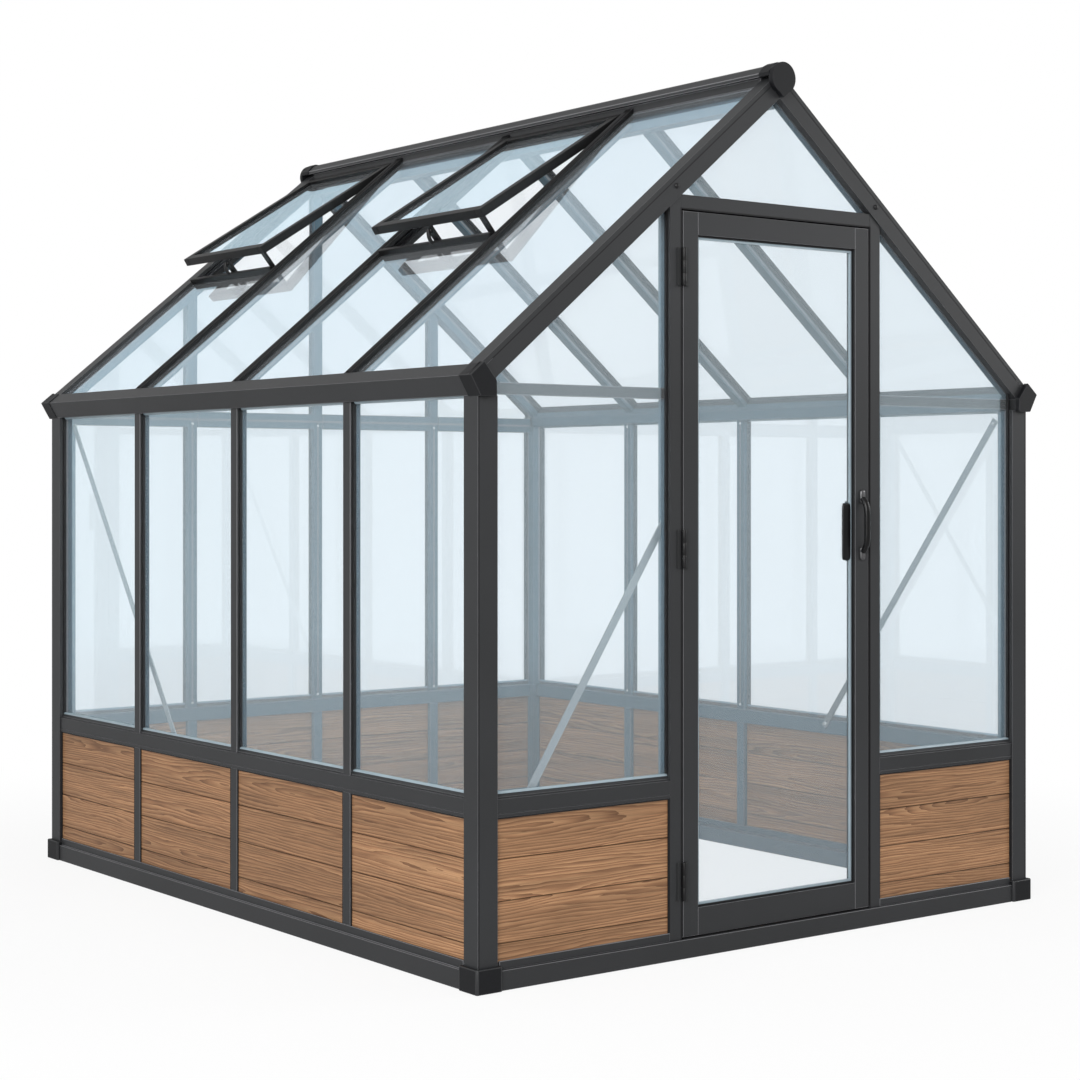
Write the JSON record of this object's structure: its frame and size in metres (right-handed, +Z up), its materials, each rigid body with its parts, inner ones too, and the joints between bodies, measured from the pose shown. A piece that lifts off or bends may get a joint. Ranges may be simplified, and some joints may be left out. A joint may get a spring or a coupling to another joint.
{
  "type": "greenhouse",
  "caption": "Glazed greenhouse with a pitched roof on a dark metal frame, boarded panels below the sill, a hinged door in the gable and roof vents held open",
  "frame": {"origin": "on the ground at the middle of the plan", "axes": "+Z up, the ridge runs along Y, the door gable faces -Y"},
  "size_m": [2.0838, 2.494, 2.3917],
  "materials": {
    "frame": "satin powder coat, charcoal",
    "caps": "fine-grained black",
    "handles": "satin black",
    "fittings": "black coat",
    "boards": "oiled, straight grain",
    "glass": "clear float glass",
    "braces": "mill finish"
  },
  "bodies": {
    "house": {"corner_feet": "caps", "side_base_rails": "frame", "front_base_rail": "frame", "front_base_lips": "frame", "back_base_rail": "frame", "corner_posts": "frame", "side_sill_rails": "frame", "front_sill_rails": "frame", "back_sill_rail": "frame", "side_wall_bars": "frame", "back_wall_bars": "frame", "side_panel_stiles": "frame", "back_panel_stiles": "frame", "eave_beams": "frame", "eave_caps": "caps", "ridge_beam": "frame", "ridge_caps": "caps", "front_rafters": "frame", "back_rafters": "frame", "left_roof_bars": "frame", "right_roof_bars": "frame", "door_jambs": "frame", "door_header": "frame", "front_tie_bars": "frame", "back_tie_bars": "frame", "side_boards": "boards", "front_boards": "boards", "back_boards": "boards", "left_wall_glass": "glass", "right_wall_glass": "glass", "front_glass": "glass", "back_glass": "glass", "left_roof_glass": "glass", "right_roof_glass": "glass", "vent_slam_bars": "frame", "vent_curb_sides": "frame", "vent_stiles": "frame", "vent_rails": "frame", "vent_glass": "glass", "vent_stays": "fittings", "wind_braces": "braces", "frame_hinges": "fittings"},
    "door": {"door_stiles": "frame", "door_rails": "frame", "door_glass": "glass", "door_hinges": "fittings", "outside_pull": "handles", "inside_pull": "handles"}
  },
  "joints": [
    {"name": "door_hinge", "type": "hinge", "parent": "house", "child": "door", "pos_m": [-0.3475, -1.2235, 1], "axis": [0, 0, -1], "range_deg": [0, 110]}
  ]
}
